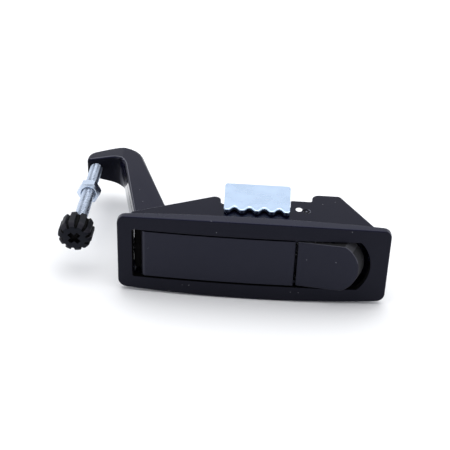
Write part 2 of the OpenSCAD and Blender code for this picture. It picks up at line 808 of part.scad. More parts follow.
// Fluted knob with a crowned face and a cross recess
module bumper_knob() {
    edge = 1.2;
    flute_d = 4;
    recess_length = 9;
    recess_width = 2;
    recess_depth = 2;
    r = knob_d / 2;
    crown_r = (pow(r - edge, 2) + pow(knob_crown, 2)) / (2 * knob_crown);
    crown_angle = asin((r - edge) / crown_r);
    color(moulded) translate([bolt_x, knob_depth, 0]) rotate([-90, 0, 0]) difference() {
        rotate_extrude() polygon(concat(
            [for (a = spread(0, crown_angle, corner_steps)) [crown_r * sin(a), crown_r * (1 - cos(a))]],
            [[r, knob_crown + edge], [r, knob_length - edge / 2]],
            [[r - edge / 2, knob_length], [0, knob_length]]
        ));
        for (i = [0:knob_lobes - 1])
            rotate([0, 0, knob_turned + 360 * (i + 0.5) / knob_lobes])
                translate([r + 0.6, 0, -cut]) cylinder(d = flute_d, h = knob_length + 2 * cut);
        for (turn = [45, 135])
            rotate([0, 0, turn])
                translate([-recess_length / 2, -recess_width / 2, -cut])
                    cube([recess_length, recess_width, recess_depth + cut]);
        translate([0, 0, bolt_seat - knob_depth - running_fit])
            cylinder(d = bolt_d + 2 * running_fit, h = knob_length);
    }
}

// Front edge of a bracket, one wave for each tooth, narrower at the bottom of the wave
function wave(x) = tooth_height * pow(0.5 - 0.5 * cos(360 * (x - bracket_x) / tooth_pitch), 1.4);

module bracket_outline() {
    half = bracket_width / 2;
    steps = 8 * round(bracket_width / tooth_pitch);
    polygon(soften(concat(
        [for (x = spread(bracket_x - half, bracket_x + half, steps)) [x, teeth_depth + wave(x), 0]],
        [[bracket_x + half, bracket_back, 1.5], [bracket_x - half, bracket_back, 1.5]]
    )));
}

// Angle bracket whose teeth press the panel against the bezel
module upper_clamp_bracket() {
    half = bracket_width / 2;
    flange_front = bracket_back - bracket_thickness;
    color(zinc) difference() {
        intersection() {
            along_x(bracket_x - half - cut, bracket_x + half + cut) polygon(soften([
                [teeth_depth - cut, bracket_inner, 0],
                [flange_front, bracket_inner, 0.6],
                [flange_front, lug_inner, 0],
                [bracket_back, lug_inner, 0],
                [bracket_back, bracket_outer, bracket_bend],
                [teeth_depth - cut, bracket_outer, 0]
            ]));
            along_z(lug_inner - cut, bracket_outer + cut) bracket_outline();
        }
        bar_y(bracket_x, screw_z, screw_d + 2 * running_fit, flange_front - cut, bracket_back + cut);
    }
}

module lower_clamp_bracket() {
    mirror([0, 0, 1]) upper_clamp_bracket();
}

// Socket head screw that draws a bracket towards the panel
module upper_clamp_screw() {
    socket_flats = 3;
    socket_depth = 2;
    head = bracket_back + face_fit;
    color(zinc) difference() {
        union() {
            bar_y(bracket_x, screw_z, screw_d, head - screw_length, head + cut);
            bar_y(bracket_x, screw_z, screw_head_d, head, head + screw_head_h);
        }
        translate([bracket_x, head + screw_head_h - socket_depth, screw_z]) rotate([-90, 0, 0])
            cylinder(d = socket_flats / cos(30), h = socket_depth + cut, $fn = 6);
    }
}

module lower_clamp_screw() {
    mirror([0, 0, 1]) upper_clamp_screw();
}

bezel();
upper_side_plate();
lower_side_plate();
left_wall();
end_plate();
upper_threaded_lug();
lower_threaded_lug();
main_pivot_pin();
catch_pin();
lever_paddle();
arm();
cross_pin();
arm_shims();
pivot_washers();
trigger_pin();
trigger();
catch_hook();
hook_rivet();
trigger_spring();
adjusting_bolt();
jam_nut();
bumper_knob();
upper_clamp_bracket();
lower_clamp_bracket();
upper_clamp_screw();
lower_clamp_screw();
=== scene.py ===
"""Looks of the lever latch: satin black coat, bright zinc and a moulded knob around the fixed frame."""

import json
import math

import bmesh
import bpy
from mathutils import Matrix, Vector


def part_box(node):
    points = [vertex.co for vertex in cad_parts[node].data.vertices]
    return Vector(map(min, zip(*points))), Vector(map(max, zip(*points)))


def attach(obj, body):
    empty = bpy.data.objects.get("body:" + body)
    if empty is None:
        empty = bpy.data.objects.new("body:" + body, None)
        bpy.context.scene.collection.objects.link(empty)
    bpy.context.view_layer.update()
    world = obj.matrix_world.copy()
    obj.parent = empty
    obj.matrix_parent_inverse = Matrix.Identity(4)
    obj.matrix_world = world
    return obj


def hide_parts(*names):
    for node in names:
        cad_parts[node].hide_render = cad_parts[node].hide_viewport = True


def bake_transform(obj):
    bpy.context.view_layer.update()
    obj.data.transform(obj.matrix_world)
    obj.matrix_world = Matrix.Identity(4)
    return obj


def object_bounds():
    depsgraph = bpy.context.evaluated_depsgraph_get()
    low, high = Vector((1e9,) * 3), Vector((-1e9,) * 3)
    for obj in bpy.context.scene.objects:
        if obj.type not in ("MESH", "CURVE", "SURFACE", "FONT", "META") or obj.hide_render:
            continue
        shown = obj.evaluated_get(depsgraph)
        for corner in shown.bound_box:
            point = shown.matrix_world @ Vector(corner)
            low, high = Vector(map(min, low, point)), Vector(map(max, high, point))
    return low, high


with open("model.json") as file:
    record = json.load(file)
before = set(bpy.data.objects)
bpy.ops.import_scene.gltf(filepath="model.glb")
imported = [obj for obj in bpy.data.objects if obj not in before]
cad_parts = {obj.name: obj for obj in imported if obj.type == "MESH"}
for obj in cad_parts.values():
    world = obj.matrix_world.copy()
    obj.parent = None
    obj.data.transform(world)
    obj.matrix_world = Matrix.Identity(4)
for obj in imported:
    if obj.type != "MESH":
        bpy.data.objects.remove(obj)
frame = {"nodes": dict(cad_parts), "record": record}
cad_low, cad_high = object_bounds()

MM = 0.001
BODY_OF = {
    node: body
    for body, nodes in frame["record"]["behaviour"]["bodies"].items()
    for node in nodes
}
SLOT_OF = {part["node"]: part["material_slot"] for part in frame["record"]["subparts"]}

# Camera fitted to the photograph, in degrees and millimetres
CAMERA_AZIMUTH = 2.44
CAMERA_ELEVATION = 32.66
CAMERA_ROLL = 2.02
CAMERA_AIM = (-16.59, 0.0, 20.15)
CAMERA_DISTANCE = 634.2
CAMERA_LENS = 88.71
CAMERA_SENSOR = 36.0

# Light and floor, with places and sizes in metres
SURROUND = 1.07
SURROUND_WHITE = (0.95, 0.97, 1.0)
SURROUND_DARK = (0.10, 0.10, 0.12)
DARK_SIDE = (0.0, -0.55, 0.83)
DARK_FROM = 0.72
DARK_FULL = 0.90
TOP_LIGHT = 17.6
TOP_LIGHT_PLACE = (0.0, 0.2, 1.4)
TOP_LIGHT_SIZE = 1.8
FLOOR_WHITE = (0.96, 0.96, 0.965, 1)
FLOOR_SIZE = 6.0
FLOOR_GAP = 0.2 * MM

# Finishes: usual range of the noise, depth of the grain in millimetres, and colours of the coat
NOISE_LOW = 0.3
NOISE_HIGH = 0.7
GRAIN_DEPTH = 0.02
COLD_SHEEN = (0.64, 0.67, 1.0)
PLASTIC_SHEEN = (0.72, 0.78, 1.0)
COAT_DARK = (0.0024, 0.0024, 0.0036)
COAT_LIGHT = (0.0040, 0.0039, 0.0056)
COAT_DUST = (0.22, 0.22, 0.24)

# Meshing
WELD_GAP = 0.002 * MM
SAME_POINT = 0.0001 * MM
FLAT_ANGLE = math.radians(0.15)
CREASE_ANGLE = math.radians(38)
SHARP_ANGLE = math.radians(25)
CORNER_STEPS = 4

# Bezel, in millimetres
BEZEL_EDGE = 0.8
BEZEL_FINE_EDGE = 0.35
BEZEL_FRONT = -0.6
BEZEL_BACK = -0.1
BEZEL_BACK_FROM = 19.5
BEZEL_END = 6.0
OPENING_HALF = 17.5
RIM_DEPTH = 2.0
RIM_FROM = 20.0
RIM_FACING = 0.55

# Side plates in millimetres, with their spare hole's place as seen from the catch pin
PLATE_EDGE = 0.3
PLATE_EDGE_FROM = 1.0
PLATE_SLACK = 0.1
SPARE_HOLE = (-4.4, 1.8)
SPARE_HOLE_REACH = 2.35
SPARE_HOLE_CLEAR = 5.0
SPARE_HOLE_RELIEF = 2.7
SPARE_HOLE_STRETCH = 0.25
SPARE_HOLE_FRONT = -0.2

# Arm, in millimetres
ARM_EDGE = 1.8
ARM_EDGE_FROM = 22.0
ARM_EDGE_APART = 4.6
HUB_WIDER = 0.32
HUB_SLACK = 0.05
HUB_DEPTH = 17.0
HUB_REACH = 17.0
HUB_CHEEK = 10.6
HUB_OPEN_FROM = 3.5
HUB_STEP = 0.1
SHANK_FROM = 18.0
SHANK_TO = 80.0
ARM_HIGHLIGHT_FROM = 30.0
FINGER_FROM = 60.0
FINGER_LEAN = 2.2
LEAN_FROM = 0.236

# Brackets in millimetres, with their back corners as drawn and as seen
BRACKET_EDGE = 0.4
BRACKET_DRAWN = 1.5
BRACKET_CORNER = 3.6
BRACKET_CUTS = 8
BRACKET_SLACK = 0.05
BRACKET_FLARE = (0.9, 0.3)
TOOTH_DEEPER = 1.22
TOOTH_DEPTH = 4.0
TOOTH_EDGE = 0.95
TOOTH_EDGE_TO = 4.5
TOOTH_MARGIN = 0.5

# Threads, with sizes in millimetres and shares of a pitch
BOLT_PITCH = 1.25
BOLT_CHAMFER = 0.8
BOLT_SIDES = 48
SCREW_PITCH = 0.7
THREAD_SHARE = 0.36
CREST_SHARE = 0.30
FLANK_SHARE = 0.62
ROWS_PER_PITCH = 8

# Clamp screws, in millimetres
SCREW_SHANK = 2.0
SCREW_POINT = 0.5
SCREW_SIDES = 28
SCREW_HEAD = 4.0
HEAD_SIDES = 72
HEAD_EDGE = 0.45
HEAD_CHAMFER = 0.3
KNURL_DEPTH = 0.16
KNURL_FROM = 0.8
SOCKET_FLATS = 3.0
SOCKET_DEPTH = 2.0
SOCKET_CHAMFER = 0.2

# Nut, in millimetres, with its face as a share of the flats
NUT_SIDES = 96
NUT_ROOM = 0.1
NUT_FACE = 0.42
NUT_CHAMFER = 0.577
COUNTERSINK = 0.7
COUNTERSINK_DEPTH = 1.0

# Peened end of the catch pin, in millimetres
PIN_SIDES = 40
PIN_SUNK = 0.04
DIMPLE_MIDDLE = 0.1
DIMPLE_BRIGHT = 0.34
DIMPLE_RADIUS = 0.5
DIMPLE_DEPTH = 0.3
GROOVE_IN = 0.65
GROOVE_HIGHLIGHT = 0.62
GROOVE_OUT = 0.5
GROOVE_DEPTH = 0.6
PIN_RIM_DEPTH = 0.7

# Spring, in millimetres
WIRE = 0.9
WIRE_SIDES = 12
COIL_CLEARANCE = 0.4
COIL_TURNS = 3.5
COIL_STEPS = 28
PADDLE_LEG = (-11.0, 0.6, 0.0)
TRIGGER_LEG = (-11.0, -1.0, 0.0)

# Knob, in millimetres and degrees, with its face as a share of the radius
KNOB_LOBES = 10
KNOB_RING = 24
KNOB_TURNED = 8.5
KNOB_FLUTE = 1.6
KNOB_GROOVE = 0.27
KNOB_GROOVE_WALL = 0.18
KNOB_EDGE = 0.5
KNOB_CROWN = 0.5
KNOB_FACE = 0.76
FACE_SHARES = (0.0, 0.35, 0.7, 1.0)
FACE_FOLLOWS = 0.55
KNOB_SHOULDER = 3.0
SHOULDER_STEPS = 6
SHOULDER_FROM = math.radians(42)
SHOULDER_PAST = 0.5
KNOB_ROOM = 0.05
KNOB_BORE_CHAMFER = 0.3
CROSS_ARM = 4.0
CROSS_HALF = 1.4
CROSS_DEPTH = 2.2
CROSS_TAPER = 0.86
CROSS_EDGE = 0.2
CROSS_EDGE_DEPTH = 0.25
CROSS_PAST = 0.3
CROSS_DARK_FROM = 0.9
FLUTE_DARK_FROM = 0.8

# Paddle, in millimetres
PADDLE_EDGE = 0.45
PADDLE_ROLL = 3.4

# Trigger, in millimetres and degrees
TRIGGER_TILT = 8.0
TRIGGER_EDGE = 0.55
TRIGGER_LIP = 2.0
TRIGGER_SKIRT = 9.0
TRIGGER_DRAFT = 2.3
DRAFT_FROM = 3.0
DRAFT_FADE = 7.0
DRAFT_RADIUS = 14.5
ROUND_BEHIND = 1.9
SKIRT_PAST = 4.0
SKIRT_SIDE = 14.0
SIDES_PAST_PIN = 8.0

# Rounding of the plainer pieces' edges, in millimetres
PLAIN_PIECES = {
    "left_wall": 0.2,
    "end_plate": 0.2,
    "upper_threaded_lug": 0.3,
    "lower_threaded_lug": 0.3,
    "main_pivot_pin": 0.3,
    "cross_pin": 0.3,
    "arm_shims": 0.05,
    "pivot_washers": 0.05,
    "trigger_pin": 0.2,
    "catch_hook": 0.3,
    "hook_rivet": 0.2,
}


def place_camera():
    """Camera at the photograph's viewing angle."""
    azimuth = math.radians(CAMERA_AZIMUTH)
    elevation = math.radians(CAMERA_ELEVATION)
    roll = math.radians(CAMERA_ROLL)
    right = Vector((math.cos(azimuth), math.sin(azimuth), 0))
    look = Vector((
        -math.sin(azimuth) * math.cos(elevation),
        math.cos(azimuth) * math.cos(elevation),
        -math.sin(elevation),
    ))
    up = right.cross(look)
    tilted_right = right * math.cos(roll) + up * math.sin(roll)
    tilted_up = up * math.cos(roll) - right * math.sin(roll)
    camera = bpy.data.objects.new("camera", bpy.data.cameras.new("camera"))
    camera.data.sensor_width = CAMERA_SENSOR
    camera.data.lens = CAMERA_LENS
    camera.data.clip_start = 10 * MM
    place = Matrix((tilted_right, tilted_up, -look)).transposed().to_4x4()
    place.translation = Vector(CAMERA_AIM) * MM - look * CAMERA_DISTANCE * MM
    camera.matrix_world = place
    bpy.context.scene.collection.objects.link(camera)
    bpy.context.scene.camera = camera


def new_group(name, inputs, outputs):
    """An empty shader group with float inputs and float outputs."""
    group = bpy.data.node_groups.new(name, "ShaderNodeTree")
    for label, value in inputs:
        socket = group.interface.new_socket(label, in_out="INPUT", socket_type="NodeSocketFloat")
        socket.default_value = value
    for label in outputs:
        group.interface.new_socket(label, in_out="OUTPUT", socket_type="NodeSocketFloat")
    return group, group.nodes.new("NodeGroupInput"), group.nodes.new("NodeGroupOutput")


def math_node(tree, operation, first, second):
    """A math node whose two inputs are sockets."""
    node = tree.nodes.new("ShaderNodeMath")
    node.operation = operation
    tree.links.new(first, node.inputs[0])
    tree.links.new(second, node.inputs[1])
    return node.outputs[0]


def speck_group():
    """Scattered fine specks: a round dot in some cells of a random pattern."""
    group, given, out = new_group(
        "fine_specks", [("Scale", 300.0), ("Size", 0.06), ("Rarity", 0.9)], ["Mask"]
    )
    place = group.nodes.new("ShaderNodeTexCoord")
    cells = group.nodes.new("ShaderNodeTexVoronoi")
    parts = group.nodes.new("ShaderNodeSeparateColor")
    group.links.new(place.outputs["Object"], cells.inputs["Vector"])
    group.links.new(given.outputs["Scale"], cells.inputs["Scale"])
    group.links.new(cells.outputs["Color"], parts.inputs[0])
    near = math_node(group, "LESS_THAN", cells.outputs["Distance"], given.outputs["Size"])
    rare = math_node(group, "GREATER_THAN", parts.outputs[0], given.outputs["Rarity"])
    group.links.new(math_node(group, "MULTIPLY", near, rare), out.inputs["Mask"])
    return group


def grain_group():
    """Fine surface grain for bump, and slow mottling for colour and roughness."""
    group, given, out = new_group(
        "surface_grain", [("Grain Scale", 2500.0), ("Mottle Scale", 60.0)], ["Height", "Mottle"]
    )
    place = group.nodes.new("ShaderNodeTexCoord")
    for socket, detail, label in (("Grain Scale", 3.0, "Height"), ("Mottle Scale", 5.0, "Mottle")):
        noise = group.nodes.new("ShaderNodeTexNoise")
        noise.inputs["Detail"].default_value = detail
        group.links.new(place.outputs["Object"], noise.inputs["Vector"])
        group.links.new(given.outputs[socket], noise.inputs["Scale"])
        group.links.new(noise.outputs["Fac"], out.inputs[label])
    return group


def use_group(tree, group, **values):
    """The group placed in a material, with its own values."""
    node = tree.nodes.new("ShaderNodeGroup")
    node.node_tree = group
    for label, value in values.items():
        node.inputs[label.replace("_", " ")].default_value = value
    return node


def mixed(tree, factor, low, high):
    """A colour that runs from low to high with the factor."""
    mix = tree.nodes.new("ShaderNodeMix")
    mix.data_type = "RGBA"
    tree.links.new(factor, mix.inputs["Factor"])
    for socket, value in ((mix.inputs[6], low), (mix.inputs[7], high)):
        if isinstance(value, tuple):
            socket.default_value = (*value, 1)
        else:
            tree.links.new(value, socket)
    return mix.outputs[2]


def ranged(tree, value, low, high):
    """A noise value spread over low to high."""
    spread = tree.nodes.new("ShaderNodeMapRange")
    spread.inputs["From Min"].default_value = NOISE_LOW
    spread.inputs["From Max"].default_value = NOISE_HIGH
    spread.inputs["To Min"].default_value = low
    spread.inputs["To Max"].default_value = high
    tree.links.new(value, spread.inputs["Value"])
    return spread.outputs[0]


def finish_material(
    name, colours, specks, grain, roughness, bump, metallic=0.0, specular=0.5, tint=None
):
    """A finish with mottled colour, scattered specks, grain bump and uneven roughness."""
    material = bpy.data.materials.new(name)
    material.use_nodes = True
    tree = material.node_tree
    shader = tree.nodes["Principled BSDF"]
    shader.inputs["Metallic"].default_value = metallic
    shader.inputs["Specular IOR Level"].default_value = specular
    if tint:
        shader.inputs["Specular Tint"].default_value = (*tint, 1)
    surface = use_group(tree, GRAIN, **grain)
    dots = use_group(tree, SPECKS, **specks)
    dark, light, dot_colour = colours
    mottled = mixed(tree, ranged(tree, surface.outputs["Mottle"], 0, 1), dark, light)
    coloured = mixed(tree, dots.outputs["Mask"], mottled, dot_colour)
    tree.links.new(coloured, shader.inputs["Base Color"])
    tree.links.new(ranged(tree, surface.outputs["Mottle"], *roughness), shader.inputs["Roughness"])
    relief = tree.nodes.new("ShaderNodeBump")
    relief.inputs["Strength"].default_value = bump
    relief.inputs["Distance"].default_value = GRAIN_DEPTH * MM
    tree.links.new(surface.outputs["Height"], relief.inputs["Height"])
    tree.links.new(relief.outputs[0], shader.inputs["Normal"])
    return material


def black_coat(name, specular, roughness, dust=0.5, blue=0.0, painted_lift=0.0):
    """Satin black coat with a cold sheen and a little light dust on it. Its lift lightens the colour, as
    painted light on chosen faces.
    """
    lift = (painted_lift, painted_lift, painted_lift + blue)
    dark = tuple(shade + more for shade, more in zip(COAT_DARK, lift))
    light = tuple(shade + more for shade, more in zip(COAT_LIGHT, lift))
    return finish_material(
        name,
        colours=(dark, light, COAT_DUST),
        specks={"Scale": 250.0, "Size": 0.055, "Rarity": dust},
        grain={"Grain_Scale": 2600.0, "Mottle_Scale": 45.0},
        roughness=roughness, bump=0.35, specular=specular, tint=COLD_SHEEN,
    )


def zinc_plate(name, colours):
    """Bright zinc plate with a fine grain."""
    return finish_material(
        name,
        colours=colours,
        specks={"Scale": 260.0, "Size": 0.07, "Rarity": 0.96},
        grain={"Grain_Scale": 1800.0, "Mottle_Scale": 110.0},
        roughness=(0.22, 0.34), bump=0.25, metallic=1.0,
    )


def black_plastic(name, colours, dust, roughness, specular, tint=None):
    """Moulded black plastic with a matt grain."""
    return finish_material(
        name,
        colours=colours,
        specks={"Scale": 220.0, "Size": 0.04, "Rarity": dust},
        grain={"Grain_Scale": 2000.0, "Mottle_Scale": 90.0},
        roughness=roughness, bump=0.5, specular=specular, tint=tint,
    )


SPECKS = speck_group()
GRAIN = grain_group()
CAST_COAT = black_coat("cast_black_coat", 0.175, (0.34, 0.42), 0.65)
# Glossier copy of the cast coat with a bluer colour: painted highlight on the bezel's rim
RIM_HIGHLIGHT_COAT = black_coat("rim_painted_highlight_coat", 0.30, (0.24, 0.30), blue=0.006)
PRESSED_COAT = black_coat("pressed_black_coat", 0.315, (0.36, 0.44), 0.75)
# Pressed coat with its colour lifted: painted light on the sides of the trigger's round end
SKIRT_LIT_COAT = black_coat("skirt_painted_light_coat", 0.30, (0.38, 0.46), 0.8, painted_lift=0.026)
# Glossier copy of the pressed coat: painted highlight on the paddle's rolled end
ROLL_HIGHLIGHT_COAT = black_coat("rolled_end_painted_highlight_coat", 0.43, (0.34, 0.42), 0.8)
# Coat with its colour lifted and more gloss: painted highlight lines and wedges on edges
HIGHLIGHT_COAT = black_coat("painted_highlight_black_coat", 0.60, (0.26, 0.34), 0.9, blue=0.006, painted_lift=0.06)
# Coat with its colour lifted further: painted highlight lines on the side plates' edges and a painted
# highlight dot in the catch pin's dimple
EDGE_HIGHLIGHT_COAT = black_coat("painted_edge_highlight_coat", 0.60, (0.26, 0.34), 0.95, blue=0.02, painted_lift=0.10)
# Glossier, bluer copy of the coat: painted highlight on the left face of the arm's shank
SHANK_HIGHLIGHT_COAT = black_coat("smooth_painted_highlight_coat", 0.40, (0.05, 0.09), 0.95, blue=0.004)
# Duller copy of the coat: painted shade on the front of the arm's finger, and the catch pin's own finish
DIM_COAT = black_coat("dim_black_coat", 0.085, (0.30, 0.36), 0.9)
PLATE_COAT = black_coat("plate_black_coat", 0.13, (0.06, 0.10), 0.7, blue=0.0045)
ARM_COAT = black_coat("arm_black_coat", 0.16, (0.16, 0.22), 0.8, blue=0.006)
# Near black: painted shade in the bezel's opening and on the arm's hub
SHADE_BLACK = finish_material(
    "painted_shade_black",
    colours=((0.0010, 0.0010, 0.0011), (0.0018, 0.0018, 0.0020), (0.004, 0.004, 0.004)),
    specks={"Scale": 300.0, "Size": 0.05, "Rarity": 0.9},
    grain={"Grain_Scale": 1500.0, "Mottle_Scale": 120.0},
    roughness=(0.70, 0.85), bump=0.5, specular=0.06,
)
# Near white: painted light on the walls of the side plates' spare hole, standing for the light seen
# through it
HOLE_LIGHT_WHITE = finish_material(
    "painted_light_hole_white",
    colours=((0.93, 0.94, 0.96), (0.96, 0.97, 0.98), (0.80, 0.82, 0.84)),
    specks={"Scale": 900.0, "Size": 0.06, "Rarity": 0.9},
    grain={"Grain_Scale": 3000.0, "Mottle_Scale": 300.0},
    roughness=(0.45, 0.55), bump=0.3,
)
ZINC = zinc_plate(
    "bright_zinc_plate", ((0.515, 0.64, 0.82), (0.535, 0.66, 0.84), (0.46, 0.575, 0.71))
)
BOLT_ZINC = zinc_plate(
    "bright_bolt_zinc", ((0.55, 0.63, 0.76), (0.58, 0.66, 0.79), (0.46, 0.55, 0.66))
)
STEEL = finish_material(
    "dark_oiled_steel",
    colours=((0.030, 0.030, 0.034), (0.050, 0.050, 0.055), (0.10, 0.09, 0.08)),
    specks={"Scale": 400.0, "Size": 0.10, "Rarity": 0.90},
    grain={"Grain_Scale": 3200.0, "Mottle_Scale": 150.0},
    roughness=(0.30, 0.42), bump=0.3, metallic=1.0,
)
MOULDED = black_plastic(
    "moulded_black_plastic",
    colours=((0.0030, 0.0032, 0.0048), (0.0050, 0.0052, 0.0072), (0.06, 0.06, 0.06)),
    dust=0.90, roughness=(0.44, 0.54), specular=0.145, tint=PLASTIC_SHEEN,
)
# Near black and dull: painted shade in the knob's cross recess and the deep part of its flutes
MOULDED_SHADE = black_plastic(
    "painted_shade_black_plastic",
    colours=((0.0012, 0.0012, 0.0014), (0.0020, 0.0020, 0.0022), (0.006, 0.006, 0.006)),
    dust=0.95, roughness=(0.60, 0.75), specular=0.05,
)
# Lighter plastic: painted light on the knob's upward facing shoulder
MOULDED_LIT = black_plastic(
    "painted_light_black_plastic",
    colours=((0.016, 0.0155, 0.021), (0.022, 0.021, 0.028), (0.06, 0.06, 0.06)),
    dust=0.90, roughness=(0.50, 0.60), specular=0.12,
)
FINISHES = {"coat": PLATE_COAT, "zinc": ZINC, "steel": STEEL, "moulded": MOULDED}


def add_piece(name, bm, node, finishes=(), rides=True):
    """A finished piece that stands for a CAD node and moves with its body."""
    bmesh.ops.recalc_face_normals(bm, faces=bm.faces)
    mesh = bpy.data.meshes.new(name)
    bm.to_mesh(mesh)
    bm.free()
    mesh.shade_smooth()
    mesh.set_sharp_from_angle(angle=CREASE_ANGLE)
    piece = bpy.data.objects.new(name, mesh)
    bpy.context.scene.collection.objects.link(piece)
    flatten = piece.modifiers.new("even_faces", "WEIGHTED_NORMAL")
    flatten.keep_sharp = True
    slot = SLOT_OF[node]
    for finish in finishes or (FINISHES[slot],):
        mesh.materials.append(finish)
    if rides:
        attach(piece, BODY_OF[node])
    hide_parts(node)
    return piece


def cad_copy(node):
    """The welded faces of a CAD node, with its flat triangles joined again."""
    bm = bmesh.new()
    bm.from_mesh(frame["nodes"][node].data)
    bmesh.ops.remove_doubles(bm, verts=bm.verts, dist=WELD_GAP)
    bmesh.ops.dissolve_limit(bm, angle_limit=FLAT_ANGLE, verts=bm.verts, edges=bm.edges)
    return bm


def round_edges(bm, radius, chosen=None, steps=3, clamp=True):
    """Rounds the sharp edges, all of them or those that are chosen by their middle in millimetres."""
    edges = []
    for edge in bm.edges:
        if len(edge.link_faces) != 2 or abs(edge.calc_face_angle(0)) < SHARP_ANGLE:
            continue
        middle = (edge.verts[0].co + edge.verts[1].co) / 2 / MM
        if chosen is None or chosen(middle):
            edges.append(edge)
    bmesh.ops.bevel(
        bm, geom=edges, offset=radius * MM, offset_type="OFFSET", segments=steps,
        profile=0.5, affect="EDGES", clamp_overlap=clamp,
    )


def cut_across(bm, place, normal):
    """Cuts all faces along a plane through a place in millimetres, and keeps both sides."""
    everything = bm.verts[:] + bm.edges[:] + bm.faces[:]
    through = [part * MM for part in place]
    bmesh.ops.bisect_plane(bm, geom=everything, plane_co=through, plane_no=normal)


def join_doubles(bm):
    """Joins points that lie on each other, and drops the empty faces between them."""
    bmesh.ops.remove_doubles(bm, verts=bm.verts, dist=SAME_POINT)
    bmesh.ops.dissolve_degenerate(bm, edges=bm.edges, dist=SAME_POINT)


def paint_faces(bm, index, chosen):
    """Gives the chosen faces another of the piece's finishes, by their middle and their normal."""
    bm.normal_update()
    for face in bm.faces:
        if chosen(face.calc_center_median() / MM, face.normal):
            face.material_index = index


def box_mm(node):
    """Lowest and highest corner of a CAD node, in millimetres."""
    low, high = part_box(node)
    return low / MM, high / MM


def centre_mm(node):
    """Middle of a CAD node's box, in millimetres."""
    low, high = box_mm(node)
    return (low + high) / 2


def share_of(value, start, length):
    """How far a value has come from start over a length, from 0 to 1."""
    return min(max((value - start) / length, 0), 1)


def softened(node, radius):
    """A CAD node with its sharp edges rounded, as a stamped or cast piece has them."""
    bm = cad_copy(node)
    round_edges(bm, radius)
    return add_piece(node + "_finished", bm, node)


def bezel_casting():
    """Bezel with a rounded face, a painted highlight on its outer rim and painted shade in its opening.
    """
    low, high = box_mm("bezel")
    bm = cad_copy("bezel")
    finishes = (CAST_COAT, RIM_HIGHLIGHT_COAT, SHADE_BLACK)

    def outside(middle):
        return abs(middle.z) > OPENING_HALF or not low.x + BEZEL_END < middle.x < high.x - BEZEL_END

    def on_outer_front(middle):
        return middle.y < BEZEL_FRONT and outside(middle)

    def on_opening_front(middle):
        return middle.y < BEZEL_FRONT and not outside(middle)

    def on_outer_back(middle):
        return middle.y > BEZEL_BACK and outside(middle) and abs(middle.z) > BEZEL_BACK_FROM

    def on_rim(middle, normal):
        at_end = max(middle.x - high.x, low.x - middle.x) > -RIM_DEPTH
        at_side = abs(middle.z) > RIM_FROM and abs(normal.z) > RIM_FACING
        return at_side or (at_end and abs(normal.x) > RIM_FACING)

    def in_opening(middle, normal):
        return not outside(middle) and abs(normal.y) < 0.5

    round_edges(bm, BEZEL_EDGE, on_outer_front, steps=4, clamp=False)
    round_edges(bm, BEZEL_FINE_EDGE, on_opening_front, clamp=False)
    round_edges(bm, BEZEL_FINE_EDGE, on_outer_back)
    # Painted highlight: the rim's faces along the top and bottom sides and at the ends get the glossier
    # coat
    paint_faces(bm, finishes.index(RIM_HIGHLIGHT_COAT), on_rim)
    # Painted shade: the opening's side walls get the near black finish
    paint_faces(bm, finishes.index(SHADE_BLACK), in_opening)
    return add_piece("bezel_casting", bm, "bezel", finishes)


def side_plate(node):
    """Stamped side plate with painted highlight lines on its edges, and a spare hole that lets light
    through, its walls painted white as painted light.
    """
    catch = centre_mm("catch_pin")
    bm = cad_copy(node)
    finishes = (PLATE_COAT, HOLE_LIGHT_WHITE, EDGE_HIGHLIGHT_COAT)

    def from_hole(place):
        return (place - catch).xy - Vector(SPARE_HOLE)

    def away_from_hole(middle):
        return from_hole(middle).length > SPARE_HOLE_CLEAR and middle.y > PLATE_EDGE_FROM

    def on_edge(middle, normal):
        return 0.35 < abs(normal.z) < 0.97 and away_from_hole(middle)

    def in_spare_hole(middle, normal):
        return from_hole(middle).length < SPARE_HOLE_REACH and abs(normal.z) < 0.8

    inner = min(abs(vert.co.z) for vert in bm.verts)
    for vert in bm.verts:
        off = from_hole(vert.co / MM)
        if off.length > SPARE_HOLE_REACH:
            continue
        if off.y < SPARE_HOLE_FRONT:
            vert.co.y += SPARE_HOLE_STRETCH * off.y * MM
        elif abs(vert.co.z) < inner + PLATE_SLACK * MM:
            vert.co.y += SPARE_HOLE_RELIEF * MM
    round_edges(bm, PLATE_EDGE, away_from_hole, steps=2, clamp=False)
    # Painted highlight lines on the bevelled edges away from the hole
    paint_faces(bm, finishes.index(EDGE_HIGHLIGHT_COAT), on_edge)
    # Painted light: the spare hole's walls are white
    paint_faces(bm, finishes.index(HOLE_LIGHT_WHITE), in_spare_hole)
    return add_piece(node + "_finished", bm, node, finishes)


def lean_finger(bm):
    """Leans the front of the arm's finger back towards its top, less and less round the throat."""
    bm.normal_update()
    half = max(vert.co.z for vert in bm.verts if vert.co.y > FINGER_FROM * MM)
    moves = {}
    for face in bm.faces:
        middle = face.calc_center_median() / MM
        forward = -face.normal.y
        if middle.y < FINGER_FROM or abs(face.normal.z) > 0.5 or forward < LEAN_FROM:
            continue
        for vert in face.verts:
            share = (forward - LEAN_FROM) / (1 - LEAN_FROM)
            moves[vert] = min(share, moves.get(vert, 1.0))
    for vert, share in moves.items():
        vert.co.y += FINGER_LEAN * MM * share * (vert.co.z + half) / (2 * half)


def widen_hub(bm, pivot):
    """Widens the lower part of the arm's round hub, with a small step up to the rest."""
    hub_top = max(vert.co.z for vert in bm.verts)
    hub_radius = max(
        (vert.co / MM - pivot).xy.length for vert in bm.verts if vert.co.z > 0.99 * hub_top
    )
    for height in (HUB_OPEN_FROM - HUB_STEP, HUB_OPEN_FROM + HUB_STEP):
        cut_across(bm, (0, 0, height), (0, 0, 1))
    for vert in bm.verts:
        out = (vert.co / MM - pivot).xy
        if vert.co.z < HUB_OPEN_FROM * MM and abs(out.length - hub_radius) < HUB_SLACK:
            vert.co.xy += out.normalized() * HUB_WIDER * MM


